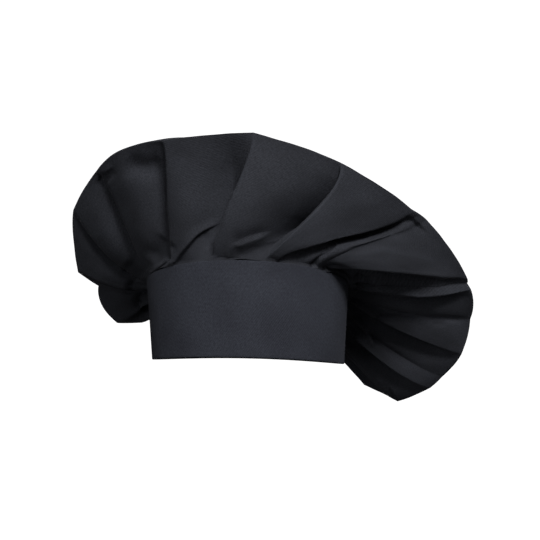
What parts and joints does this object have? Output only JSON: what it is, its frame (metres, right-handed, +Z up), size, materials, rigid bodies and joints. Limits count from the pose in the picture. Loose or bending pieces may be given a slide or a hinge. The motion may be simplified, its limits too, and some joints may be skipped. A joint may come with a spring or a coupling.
{
  "type": "chef hat",
  "caption": "Black poly-cotton chef hat: a plain upright head band with a full, pleated round crown that stands up at the front and droops to one side",
  "frame": {"origin": "centre of the opening at the band's lower edge, where the head goes in", "axes": "+Z up through the crown, -Y the front of the hat, +X the side that the crown droops to"},
  "size_m": [0.4105, 0.3035, 0.2499],
  "materials": {
    "band_twill": "matt black poly-cotton twill, doubled over a firm lining",
    "crown_twill": "matt black poly-cotton twill, single cloth"
  },
  "bodies": {
    "root": {"band": "band_twill", "crown": "crown_twill"}
  },
  "joints": []
}
